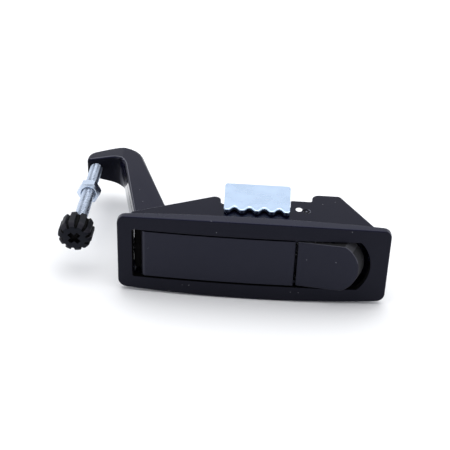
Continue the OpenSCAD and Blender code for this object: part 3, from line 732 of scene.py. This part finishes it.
def arm_casting():
    """Arm with rounded shank and finger, painted shade on its hub inside the housing and on its finger's
    front, and painted highlights on its shank's left face and inner top edges.
    """
    pivot = centre_mm("main_pivot_pin")
    bm = cad_copy("arm")
    finishes = (ARM_COAT, SHADE_BLACK, DIM_COAT, SHANK_HIGHLIGHT_COAT, HIGHLIGHT_COAT)

    def on_long_edge(middle):
        return middle.y > ARM_EDGE_FROM and abs(middle.z) > ARM_EDGE_APART

    def on_hub_side(middle, normal):
        beside = abs(normal.z) < 0.5 or abs(middle.z) > HUB_CHEEK
        return beside and middle.y < HUB_DEPTH and (middle - pivot).xy.length < HUB_REACH

    def on_finger_front(middle, normal):
        return middle.y > FINGER_FROM and normal.y < -0.75

    def on_shank_left(middle, normal):
        return SHANK_FROM < middle.y < SHANK_TO and normal.x < -0.85

    def on_inner_edge(middle, normal):
        return middle.y > ARM_HIGHLIGHT_FROM and 0.95 < normal.z < 0.998 and normal.y < -0.02

    widen_hub(bm, pivot)
    lean_finger(bm)
    round_edges(bm, ARM_EDGE, on_long_edge, steps=5, clamp=False)
    join_doubles(bm)
    # Painted shade: the hub's sides inside the housing are near black
    paint_faces(bm, finishes.index(SHADE_BLACK), on_hub_side)
    # Painted shade: the finger's front faces get the duller coat
    paint_faces(bm, finishes.index(DIM_COAT), on_finger_front)
    # Painted highlight on the shank's left face
    paint_faces(bm, finishes.index(SHANK_HIGHLIGHT_COAT), on_shank_left)
    # Painted highlight lines along the inner top edges
    paint_faces(bm, finishes.index(HIGHLIGHT_COAT), on_inner_edge)
    return add_piece("arm_finished", bm, "arm", finishes)


def round_back_corners(bm, low, high):
    """Widens a bracket towards its back, and the rounding of its two back corners."""
    half = (high.x - low.x) / 2
    centre = (high.x + low.x) / 2
    start = high.y - BRACKET_CORNER
    for i in range(BRACKET_CUTS):
        cut = start + BRACKET_CORNER * math.sin(math.pi / 2 * i / BRACKET_CUTS)
        cut_across(bm, (0, cut, 0), (0, 1, 0))
    for vert in bm.verts:
        x = vert.co.x / MM - centre
        past = min(vert.co.y / MM - start, BRACKET_CORNER)
        drawn = max(vert.co.y / MM - high.y + BRACKET_DRAWN, 0)
        edge = half - BRACKET_DRAWN + math.sqrt(max(BRACKET_DRAWN ** 2 - drawn ** 2, 0))
        if past > 0 and abs(x) > edge - BRACKET_SLACK:
            reach = half - BRACKET_CORNER + math.sqrt(BRACKET_CORNER ** 2 - past ** 2)
            vert.co.x = (centre + math.copysign(min(abs(x), reach), x)) * MM
    for vert in bm.verts:
        aside = vert.co.x / MM - centre
        flare = BRACKET_FLARE[aside > 0] * (vert.co.y / MM - low.y) / (high.y - low.y)
        if abs(aside) > half / 2:
            vert.co.x += math.copysign(flare, aside) * MM


def clamp_bracket(node):
    """Zinc plated clamp bracket with rounded back corners and rolled tooth edges."""
    low, high = box_mm(node)
    bm = cad_copy(node)
    front = low.y + TOOTH_EDGE_TO

    def on_teeth(middle):
        return middle.y < front and low.x + TOOTH_MARGIN < middle.x < high.x - TOOTH_MARGIN

    def behind_teeth(middle):
        return middle.y >= front

    round_back_corners(bm, low, high)
    for vert in bm.verts:
        deep = vert.co.y / MM - low.y
        if deep < TOOTH_DEPTH:
            vert.co.y = (low.y + TOOTH_DEEPER * deep) * MM
    round_edges(bm, TOOTH_EDGE, on_teeth, steps=4, clamp=False)
    round_edges(bm, BRACKET_EDGE, behind_teeth)
    join_doubles(bm)
    return add_piece(node + "_finished", bm, node)


def join_rings(bm, rings, closed=False):
    """Quads between neighbouring rings, with a cap on each end or closed into a loop."""
    following = rings[1:] + rings[:1] if closed else rings[1:]
    for low, high in zip(rings, following):
        count = len(low)
        for j in range(count):
            k = (j + 1) % count
            bm.faces.new((low[j], low[k], high[k], high[j]))
    if not closed:
        bm.faces.new(rings[0])
        bm.faces.new(rings[-1])


def turned_along_y(bm, centre, profiles, closed=False):
    """A piece turned about an axis along Y. Each profile is one angle's list of radius and place."""
    count = len(profiles)
    columns = []
    for i, points in enumerate(profiles):
        angle = math.tau * i / count
        columns.append([
            bm.verts.new((
                (centre[0] + r * math.cos(angle)) * MM, y * MM, (centre[1] - r * math.sin(angle)) * MM
            ))
            for r, y in points
        ])
    join_rings(bm, list(zip(*columns)), closed)


def rounded_corner(r, y, edge):
    """Points round the outer corner at r and y, from the end face at y to the side at r."""
    turns = [math.radians(90 * step / CORNER_STEPS) for step in range(CORNER_STEPS + 1)]
    return [
        (r - edge * (1 - math.sin(turn)), y - edge * (1 - math.cos(turn)))
        for turn in turns
    ]


def hexagon_radius(flats, angle):
    """Radius of a hexagon's outline, with a corner at the angle 0."""
    off = angle % (math.pi / 3) - math.pi / 6
    return flats / 2 / math.cos(off)


def thread_radius(outer, pitch, y, turn):
    """Radius of a thread with flat crests and round roots, at a place along it and round it."""
    phase = (y / pitch - turn) % 1
    ramp = share_of(abs(2 * phase - 1), CREST_SHARE, FLANK_SHARE)
    return outer - THREAD_SHARE * pitch * ramp * ramp * (3 - 2 * ramp)


def threaded_rod(bm, centre, outer, pitch, y0, y1, chamfer, sides):
    """Adds a rod along Y with a right-hand thread and chamfered ends. All sizes in millimetres."""
    rows = max(2, round((y1 - y0) / pitch * ROWS_PER_PITCH))
    places = [y0 + (y1 - y0) * i / rows for i in range(rows + 1)]
    profiles = []
    for j in range(sides):
        turn = j / sides
        profiles.append([
            (
                min(thread_radius(outer, pitch, y, turn), outer - chamfer + min(y - y0, y1 - y, chamfer)),
                y,
            )
            for y in places
        ])
    turned_along_y(bm, centre, profiles)


def adjusting_bolt():
    """Threaded rod through the arm's finger."""
    low, high = box_mm("adjusting_bolt")
    bm = bmesh.new()
    centre = ((low.x + high.x) / 2, 0)
    outer = (high.x - low.x) / 2
    threaded_rod(bm, centre, outer, BOLT_PITCH, low.y, high.y, BOLT_CHAMFER, BOLT_SIDES)
    return add_piece("adjusting_bolt_threaded", bm, "adjusting_bolt", (BOLT_ZINC,))


def clamp_screw(node):
    """Socket head screw with a knurled head and a threaded shank."""
    low, high = box_mm(node)
    middle = (low + high) / 2
    centre = (middle.x, middle.z)
    head = (high.x - low.x) / 2
    seat = high.y - SCREW_HEAD
    chamfered = seat + HEAD_CHAMFER
    bm = bmesh.new()
    threaded_rod(bm, centre, SCREW_SHANK, SCREW_PITCH, low.y, chamfered, SCREW_POINT, SCREW_SIDES)
    profiles = []
    for i in range(HEAD_SIDES):
        socket = hexagon_radius(SOCKET_FLATS, math.tau * i / HEAD_SIDES)
        knurl = head - (KNURL_DEPTH if i % 2 else 0.0)
        points = [
            (socket, high.y - SOCKET_DEPTH),
            (socket, high.y - SOCKET_CHAMFER),
            (socket + SOCKET_CHAMFER, high.y),
        ]
        points += rounded_corner(head, high.y, HEAD_EDGE)
        points += [
            (knurl, high.y - KNURL_FROM),
            (knurl, chamfered),
            (head - HEAD_CHAMFER, seat),
            (SCREW_SHANK, seat),
        ]
        profiles.append(points)
    turned_along_y(bm, centre, profiles)
    return add_piece(node + "_threaded", bm, node)


def jam_nut():
    """Hexagon nut with chamfered corners and a countersunk bore."""
    low, high = box_mm("jam_nut")
    bolt_low, bolt_high = box_mm("adjusting_bolt")
    centre = ((low.x + high.x) / 2, 0)
    bore = (bolt_high.x - bolt_low.x) / 2 + NUT_ROOM
    mouth = bore + COUNTERSINK
    flats = min(high.x - low.x, high.z - low.z)
    wide_across_x = high.x - low.x > high.z - low.z
    face = NUT_FACE * flats
    profiles = []
    for i in range(NUT_SIDES):
        angle = math.tau * i / NUT_SIDES + (0 if wide_across_x else math.pi / 6)
        side = hexagon_radius(flats, angle)
        drop = (side - face) * NUT_CHAMFER
        profiles.append([
            (bore, low.y + COUNTERSINK_DEPTH), (mouth, low.y), (face, low.y), (side, low.y + drop),
            (side, high.y - drop), (face, high.y), (mouth, high.y), (bore, high.y - COUNTERSINK_DEPTH),
        ])
    bm = bmesh.new()
    turned_along_y(bm, centre, profiles, closed=True)
    return add_piece("jam_nut_chamfered", bm, "jam_nut", (BOLT_ZINC,))


def catch_pin_peened():
    """Catch pin with peened ends: a punched dimple with a painted highlight in a flat face, and a groove
    round it with a painted highlight line.
    """
    low, high = box_mm("catch_pin")
    middle = (low + high) / 2
    outer = (high.x - low.x) / 2
    finishes = (DIM_COAT, HIGHLIGHT_COAT, EDGE_HIGHLIGHT_COAT)
    profile = [
        (DIMPLE_MIDDLE, high.z - DIMPLE_DEPTH),
        (DIMPLE_RADIUS, high.z - PIN_SUNK),
        (outer - GROOVE_IN, high.z - PIN_SUNK),
        (outer - GROOVE_OUT, high.z - GROOVE_DEPTH),
        (outer, high.z - PIN_RIM_DEPTH),
    ]
    profile += [(r, -z) for r, z in reversed(profile)]
    bm = bmesh.new()
    rings = []
    for r, z in profile:
        rings.append([
            bm.verts.new((
                (middle.x + r * math.cos(math.tau * i / PIN_SIDES)) * MM,
                (middle.y + r * math.sin(math.tau * i / PIN_SIDES)) * MM,
                z * MM,
            ))
            for i in range(PIN_SIDES)
        ])
    join_rings(bm, rings)

    def in_groove(spot, normal):
        return (spot - middle).xy.length > outer - GROOVE_HIGHLIGHT

    def in_dimple(spot, normal):
        return (spot - middle).xy.length < DIMPLE_BRIGHT

    # Painted highlight line in the groove round the pin's end
    paint_faces(bm, finishes.index(HIGHLIGHT_COAT), in_groove)
    # Painted highlight dot in the dimple
    paint_faces(bm, finishes.index(EDGE_HIGHLIGHT_COAT), in_dimple)
    return add_piece("catch_pin_peened", bm, "catch_pin", finishes)


def trigger_spring():
    """Round wire torsion spring that twists between the paddle and the trigger."""
    pin_low, pin_high = box_mm("trigger_pin")
    low, high = box_mm("trigger_spring")
    pin = (pin_low + pin_high) / 2
    coil = (pin_high.x - pin_low.x) / 2 + COIL_CLEARANCE + WIRE / 2
    start = low.z + WIRE / 2
    rise = (high.z - low.z - WIRE) / COIL_TURNS
    path = []
    for i in range(round(COIL_TURNS * COIL_STEPS) + 1):
        angle = -math.pi / 2 + math.tau * i / COIL_STEPS
        path.append(Vector((
            pin.x + coil * math.cos(angle), pin.y + coil * math.sin(angle), start + rise * i / COIL_STEPS
        )))
    path.insert(0, path[0] + Vector(PADDLE_LEG))
    path.append(path[-1] + Vector(TRIGGER_LEG))
    bm = bmesh.new()
    rings = []
    for i, place in enumerate(path):
        run = (path[min(i + 1, len(path) - 1)] - path[max(i - 1, 0)]).normalized()
        side = run.cross(Vector((0, 0, 1))).normalized()
        other = run.cross(side)
        ring = []
        for k in range(WIRE_SIDES):
            turn = math.tau * k / WIRE_SIDES
            out = side * math.cos(turn) + other * math.sin(turn)
            ring.append(bm.verts.new((place + WIRE / 2 * out) * MM))
        rings.append(ring)
    join_rings(bm, rings)
    piece = add_piece("trigger_spring_wound", bm, "trigger_spring", rides=False)
    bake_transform(piece)
    return piece


def lobed_radius(outer, turn):
    """Radius of the knob's lobed side, at a share of a whole turn."""
    phase = (turn * KNOB_LOBES) % 1
    swell = share_of(abs(2 * phase - 1), KNOB_GROOVE, KNOB_GROOVE_WALL)
    return outer - KNOB_FLUTE * (1 - swell * swell * (3 - 2 * swell))


def cross_radius(angle):
    """Radius of the cross recess's outline, its arms turned by 45 degrees."""
    off = (angle % (math.pi / 2)) - math.pi / 4
    return min(CROSS_ARM / math.cos(off), CROSS_HALF / max(abs(math.sin(off)), 0.01))


def bumper_knob():
    """Moulded knob with lobes round it, a nearly flat face, a cross recess and a bore for the bolt, with
    painted shade in the recess and the flutes and painted light on the upper shoulder.
    """
    low, high = box_mm("bumper_knob")
    bolt_low, bolt_high = box_mm("adjusting_bolt")
    centre_x = (low.x + high.x) / 2
    outer = (high.x - low.x) / 2
    bore = (bolt_high.x - bolt_low.x) / 2 + KNOB_ROOM
    face = KNOB_FACE * outer
    finishes = (MOULDED, MOULDED_SHADE, MOULDED_LIT)

    def crown(r):
        return low.y + KNOB_CROWN * (r / face) ** 2

    def from_axis(middle):
        return math.hypot(middle.x - centre_x, middle.z)

    def in_recess(middle, normal):
        return from_axis(middle) < CROSS_ARM + CROSS_PAST and middle.y > low.y + CROSS_DARK_FROM

    def on_shoulder(middle, normal):
        forward = middle.y < low.y + KNOB_CROWN + KNOB_SHOULDER
        upward = normal.z > 0.25 and normal.y > -0.96
        return forward and upward and from_axis(middle) > CROSS_ARM + SHOULDER_PAST

    def in_flute(middle, normal):
        turn = math.atan2(-middle.z, middle.x - centre_x) / math.tau
        hollow = outer - lobed_radius(outer, turn - KNOB_TURNED / 360)
        return hollow > FLUTE_DARK_FROM * KNOB_FLUTE and abs(normal.y) < 0.9

    count = KNOB_LOBES * KNOB_RING
    profiles = []
    for i in range(count):
        side = lobed_radius(outer, i / count - KNOB_TURNED / 360)
        rim = face - FACE_FOLLOWS * (outer - side)
        cross = cross_radius(math.tau * i / count)
        points = [
            (cross * CROSS_TAPER, low.y + CROSS_DEPTH),
            (cross, crown(cross) + CROSS_EDGE_DEPTH),
        ]
        for share in FACE_SHARES:
            r = (cross + CROSS_EDGE) * (1 - share) + rim * share
            points.append((r, crown(r)))
        for step in range(1, SHOULDER_STEPS + 1):
            turn = SHOULDER_FROM + (math.pi / 2 - SHOULDER_FROM) * step / SHOULDER_STEPS
            out = (math.sin(turn) - math.sin(SHOULDER_FROM)) / (1 - math.sin(SHOULDER_FROM))
            back = 1 - math.cos(turn) / math.cos(SHOULDER_FROM)
            points.append((rim + (side - rim) * out, crown(rim) + KNOB_SHOULDER * back))
        points += reversed(rounded_corner(side, high.y, KNOB_EDGE))
        points += [
            (bore + KNOB_BORE_CHAMFER, high.y),
            (bore, high.y - KNOB_BORE_CHAMFER),
            (bore, bolt_low.y - KNOB_ROOM),
        ]
        profiles.append(points)
    bm = bmesh.new()
    turned_along_y(bm, (centre_x, 0), profiles)
    # Painted light on the upward facing shoulder
    paint_faces(bm, finishes.index(MOULDED_LIT), on_shoulder)
    # Painted shade in the cross recess and the flutes
    paint_faces(bm, finishes.index(MOULDED_SHADE), in_recess)
    paint_faces(bm, finishes.index(MOULDED_SHADE), in_flute)
    return add_piece("bumper_knob_moulded", bm, "bumper_knob", finishes)


def lever_paddle():
    """Pressed paddle with softened edges and a painted highlight on its rolled end."""
    low = box_mm("lever_paddle")[0]
    bm = cad_copy("lever_paddle")
    finishes = (PRESSED_COAT, ROLL_HIGHLIGHT_COAT)

    def on_rolled_end(middle, normal):
        return middle.x < low.x + PADDLE_ROLL and normal.x < -0.2 and normal.y < -0.2

    round_edges(bm, PADDLE_EDGE)
    # Painted highlight on the rolled end
    paint_faces(bm, finishes.index(ROLL_HIGHLIGHT_COAT), on_rolled_end)
    return add_piece("lever_paddle_pressed", bm, "lever_paddle", finishes)


def trigger_cap():
    """Trigger whose round end has a drafted skirt with painted light on it, and painted highlights on its
    upper edges and where its round starts.
    """
    pin = centre_mm("trigger_pin")
    low, high = box_mm("trigger")
    untilt = Matrix.Rotation(math.radians(TRIGGER_TILT), 3, "Z")
    bm = cad_copy("trigger")
    finishes = (PRESSED_COAT, HIGHLIGHT_COAT, SKIRT_LIT_COAT)
    local = [untilt @ (vert.co / MM - pin) for vert in bm.verts]
    end = max(place.x for place in local)
    face = min(place.y for place in local)
    round_centre = end - (high.z - low.z) / 2 - ROUND_BEHIND
    skirt_from = pin.x + round_centre + SKIRT_PAST
    sides_from = pin.x + SIDES_PAST_PIN

    def on_round_skirt(middle, normal):
        return middle.x > skirt_from and normal.x > 0.05 and normal.y > -0.6

    def on_upper_skirt(middle, normal):
        return middle.x > sides_from and middle.z > SKIRT_SIDE and normal.z > 0.8

    def on_upper_edge(middle, normal):
        return normal.z > 0.2 and -0.95 < normal.y < -0.42

    def where_round_starts(middle, normal):
        return middle.x > sides_from and normal.z > 0.66 and normal.x > 0.03 and normal.y > -0.6

    for vert, place in zip(bm.verts, local):
        along = place.x - round_centre
        depth = share_of(place.y - face, TRIGGER_LIP, TRIGGER_SKIRT - TRIGGER_LIP)
        share = share_of(along, DRAFT_FROM, DRAFT_FADE)
        if math.hypot(along, place.z) > DRAFT_RADIUS and depth and share:
            vert.co += untilt.transposed() @ Vector((TRIGGER_DRAFT * depth * share, 0, 0)) * MM
    round_edges(bm, TRIGGER_EDGE, clamp=False)
    # Painted light on the sides of the round end and on the upper skirt
    paint_faces(bm, finishes.index(SKIRT_LIT_COAT), on_round_skirt)
    paint_faces(bm, finishes.index(SKIRT_LIT_COAT), on_upper_skirt)
    # Painted highlights along the upper edges and where the round starts
    paint_faces(bm, finishes.index(HIGHLIGHT_COAT), on_upper_edge)
    paint_faces(bm, finishes.index(HIGHLIGHT_COAT), where_round_starts)
    return add_piece("trigger_cap", bm, "trigger", finishes)


def studio_surround():
    """Even white surround with a dark place above the camera."""
    world = bpy.data.worlds.new("studio")
    world.use_nodes = True
    tree = world.node_tree
    place = tree.nodes.new("ShaderNodeTexCoord")
    facing = tree.nodes.new("ShaderNodeVectorMath")
    facing.operation = "DOT_PRODUCT"
    facing.inputs[1].default_value = Vector(DARK_SIDE).normalized()
    tree.links.new(place.outputs["Generated"], facing.inputs[0])
    spread = tree.nodes.new("ShaderNodeMapRange")
    spread.interpolation_type = "SMOOTHSTEP"
    spread.inputs["From Min"].default_value = DARK_FROM
    spread.inputs["From Max"].default_value = DARK_FULL
    tree.links.new(facing.outputs["Value"], spread.inputs["Value"])
    colour = mixed(tree, spread.outputs[0], SURROUND_WHITE, SURROUND_DARK)
    tree.links.new(colour, tree.nodes["Background"].inputs["Color"])
    tree.nodes["Background"].inputs["Strength"].default_value = SURROUND
    return world


def add_top_light():
    """A large square softbox above the latch, facing it."""
    light = bpy.data.lights.new("top_softbox", "AREA")
    light.size = TOP_LIGHT_SIZE
    light.energy = TOP_LIGHT
    box = bpy.data.objects.new("top_softbox", light)
    box.location = TOP_LIGHT_PLACE
    box.rotation_euler = (-Vector(TOP_LIGHT_PLACE)).to_track_quat("-Z", "Y").to_euler()
    bpy.context.scene.collection.objects.link(box)


def make_floor_and_light():
    """Pale floor and soft studio light from all round."""
    bm = bmesh.new()
    bmesh.ops.create_grid(bm, x_segments=2, y_segments=2, size=FLOOR_SIZE)
    mesh = bpy.data.meshes.new("floor")
    bm.to_mesh(mesh)
    bm.free()
    floor = bpy.data.objects.new("floor", mesh)
    floor.location.z = cad_low.z - FLOOR_GAP
    bpy.context.scene.collection.objects.link(floor)
    pale = bpy.data.materials.new("pale_floor")
    pale.use_nodes = True
    shader = pale.node_tree.nodes["Principled BSDF"]
    shader.inputs["Base Color"].default_value = FLOOR_WHITE
    shader.inputs["Roughness"].default_value = 0.9
    shader.inputs["Specular IOR Level"].default_value = 0.1
    mesh.materials.append(pale)
    bpy.context.scene.world = studio_surround()
    add_top_light()


place_camera()
make_floor_and_light()
bezel_casting()
for plate in ("upper_side_plate", "lower_side_plate"):
    side_plate(plate)
arm_casting()
adjusting_bolt()
jam_nut()
bumper_knob()
catch_pin_peened()
trigger_spring()
for bracket in ("upper_clamp_bracket", "lower_clamp_bracket"):
    clamp_bracket(bracket)
for screw in ("upper_clamp_screw", "lower_clamp_screw"):
    clamp_screw(screw)
lever_paddle()
trigger_cap()
for plain_node, plain_edge in PLAIN_PIECES.items():
    softened(plain_node, plain_edge)

bpy.context.scene.view_settings.view_transform = "Standard"
